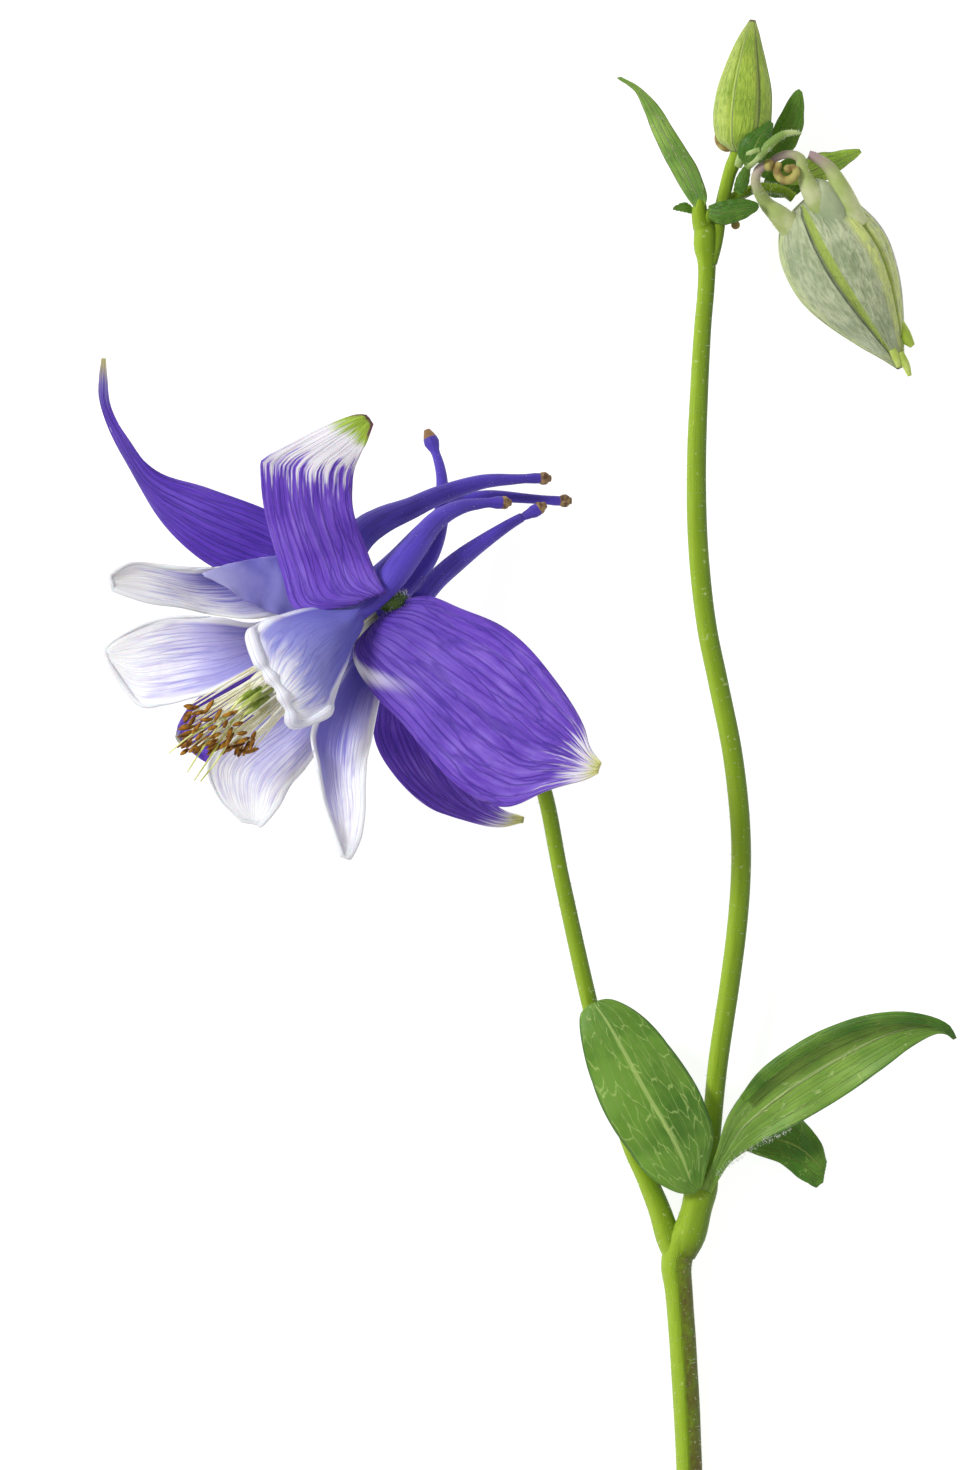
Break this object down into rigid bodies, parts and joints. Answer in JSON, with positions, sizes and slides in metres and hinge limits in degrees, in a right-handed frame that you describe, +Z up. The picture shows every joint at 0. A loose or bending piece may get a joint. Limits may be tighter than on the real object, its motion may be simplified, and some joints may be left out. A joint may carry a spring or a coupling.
{
  "type": "cut columbine stem",
  "caption": "Cut columbine stem lying down, with an open violet and white spurred flower, buds, bracts and a leaf of lobed leaflets.",
  "frame": {"origin": "centre of the lying stem's box, on the surface that it lies on", "axes": "+Y from the cut end to the buds along the stem, +X to the buds' side away from the flower, +Z up from the surface"},
  "size_m": [0.1028, 0.1778, 0.0355],
  "materials": {
    "stem_green": "fresh green stalk, slightly glossy, with fine ribs",
    "violet_sepal": "thin violet sepal with darker veins and pale green tip",
    "petal_white": "white petal turning blue violet towards its spur",
    "stamen_gold": "cream filaments with brown gold anthers",
    "leaf_green": "matt green leaf with pale veins",
    "bract_green": "matt green bract",
    "bud_green": "grey green downy bud with yellow green ribs"
  },
  "bodies": {
    "root": {"stem": "stem_green", "sepal_1": "violet_sepal", "sepal_2": "violet_sepal", "sepal_3": "violet_sepal", "sepal_4": "violet_sepal", "sepal_5": "violet_sepal", "petal_1": "petal_white", "petal_2": "petal_white", "petal_3": "petal_white", "petal_4": "petal_white", "petal_5": "petal_white", "stamens": "stamen_gold", "leaflet_1": "leaf_green", "leaflet_2": "leaf_green", "leaflet_3": "leaf_green", "bract_long": "bract_green", "bract_left": "bract_green", "bract_right": "bract_green", "bract_leafy": "bract_green", "bract_lower": "bract_green", "bract_light": "bract_green", "large_bud": "bud_green", "small_bud": "bud_green"}
  },
  "joints": []
}
